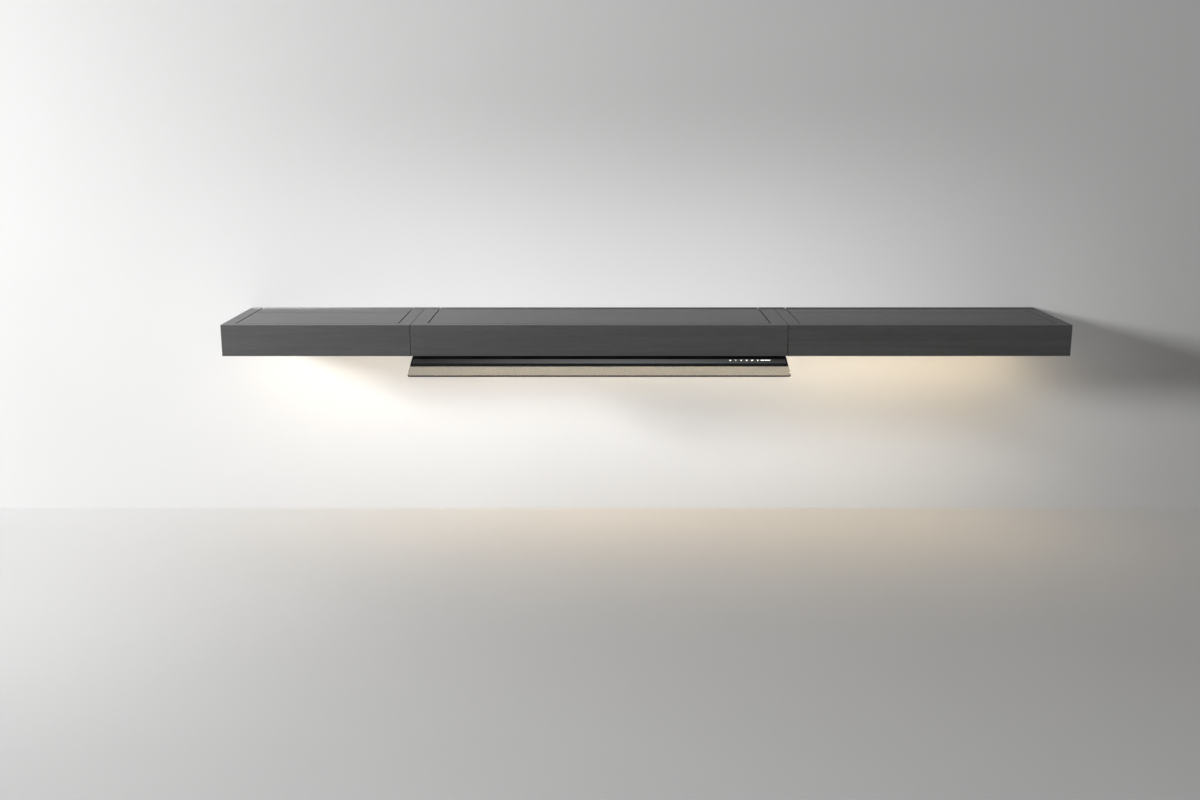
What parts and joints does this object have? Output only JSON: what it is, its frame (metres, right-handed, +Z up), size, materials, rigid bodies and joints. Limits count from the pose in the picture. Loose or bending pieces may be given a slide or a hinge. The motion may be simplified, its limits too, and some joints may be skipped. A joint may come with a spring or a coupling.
{
  "type": "shelf range hood",
  "caption": "Wall-hung shelf in dark wood with a built-in range hood: a glass visor with a black touch bar slides out of the underside over baffle grease filters.",
  "frame": {"origin": "wall plane, at mid thickness, on the hood module's centre line: the centre of its wall fixing pattern", "axes": "+X to the right seen from the room, +Y into the wall, +Z up"},
  "size_m": [2.7, 0.4849, 0.1463],
  "materials": {
    "dark_oak": "charcoal-stained oak veneer, matt lacquer",
    "raw_wood": "planed, unfinished",
    "black_steel": "fine matt powder coat",
    "zinc_steel": "zinc plated sheet",
    "aluminium": "satin anodised",
    "black_aluminium": "satin black",
    "black_panel": "high gloss black",
    "smoked_glass": "smoked, polished edges",
    "black_plastic": "moulded",
    "nylon": "moulded",
    "circuit_board": "solder mask",
    "light_tape": "white tape with light sources",
    "opal": "opal diffuser, lit from behind",
    "rubber": "matt",
    "filter_steel": "satin stainless",
    "magnet": "nickel plated",
    "motor_metal": "cast",
    "bright_steel": "bright"
  },
  "bodies": {
    "shelf": {"back_plate": "zinc_steel", "damper_pin": "bright_steel", "fan_bushes": "rubber", "fan_plate": "zinc_steel", "filter_magnets": "magnet", "front_angle": "zinc_steel", "guide_stops": "rubber", "hood_case": "dark_oak", "hood_diffuser": "opal", "hood_light_channel": "aluminium", "hook_brackets": "zinc_steel", "inlet_ring": "black_plastic", "intake_tray": "black_steel", "led_tapes": "light_tape", "left_battens": "raw_wood", "left_bracket": "zinc_steel", "left_case": "dark_oak", "left_cheek": "black_steel", "left_diffuser": "opal", "left_guide": "aluminium", "left_light_channel": "aluminium", "left_panel": "dark_oak", "left_wall_rail": "zinc_steel", "levelling_screws": "bright_steel", "light_driver": "zinc_steel", "mains_gland": "black_plastic", "module_bolts": "bright_steel", "motor": "motor_metal", "outlet_box": "black_plastic", "outlet_collar": "black_plastic", "pocket_ceiling": "black_steel", "power_box": "black_plastic", "right_battens": "raw_wood", "right_bracket": "zinc_steel", "right_case": "dark_oak", "right_cheek": "black_steel", "right_diffuser": "opal", "right_guide": "aluminium", "right_light_channel": "aluminium", "right_panel": "dark_oak", "right_wall_rail": "zinc_steel", "volute_base": "black_plastic", "volute_cover": "black_plastic"},
    "visor": {"visor_glass": "smoked_glass", "control_panel": "black_panel", "control_bar": "black_aluminium", "bar_end_caps": "black_plastic", "touch_board": "circuit_board", "visor_carriage": "black_steel", "guide_shoes": "nylon"},
    "fan_wheel": {"impeller": "black_plastic", "motor_shaft": "bright_steel"},
    "top_lid": {"hood_lid": "dark_oak"},
    "left_service_lid": {"left_cover": "dark_oak"},
    "right_service_lid": {"right_cover": "dark_oak"},
    "left_filter": {"filter_left": "filter_steel"},
    "middle_filter": {"filter_middle": "filter_steel"},
    "right_filter": {"filter_right": "filter_steel"},
    "damper": {"damper_flap": "black_plastic"}
  },
  "joints": [
    {"name": "visor_slide", "type": "slide", "parent": "shelf", "child": "visor", "axis": [0, 0.9613, 0.2756], "range_m": [0, 0.11]},
    {"name": "fan_spin", "type": "hinge", "parent": "shelf", "child": "fan_wheel", "pos_m": [-0.2, -0.097, 0], "axis": [0, 0, 1], "continuous": true},
    {"name": "lid_lift", "type": "slide", "parent": "shelf", "child": "top_lid", "axis": [0, 0, 1], "range_m": [0, 0.08]},
    {"name": "left_cover_lift", "type": "slide", "parent": "shelf", "child": "left_service_lid", "axis": [0, 0, 1], "range_m": [0, 0.06]},
    {"name": "right_cover_lift", "type": "slide", "parent": "shelf", "child": "right_service_lid", "axis": [0, 0, 1], "range_m": [0, 0.06]},
    {"name": "left_filter_swing", "type": "hinge", "parent": "shelf", "child": "left_filter", "pos_m": [-0.39, -0.0565, -0.044], "axis": [1, 0, 0], "range_deg": [0, 75]},
    {"name": "middle_filter_swing", "type": "hinge", "parent": "shelf", "child": "middle_filter", "pos_m": [0, -0.0565, -0.044], "axis": [1, 0, 0], "range_deg": [0, 75]},
    {"name": "right_filter_swing", "type": "hinge", "parent": "shelf", "child": "right_filter", "pos_m": [0.39, -0.0565, -0.044], "axis": [1, 0, 0], "range_deg": [0, 75]},
    {"name": "damper_swing", "type": "hinge", "parent": "shelf", "child": "damper", "pos_m": [0, -0.062, 0.02], "axis": [1, 0, 0], "range_deg": [0, 70]}
  ]
}
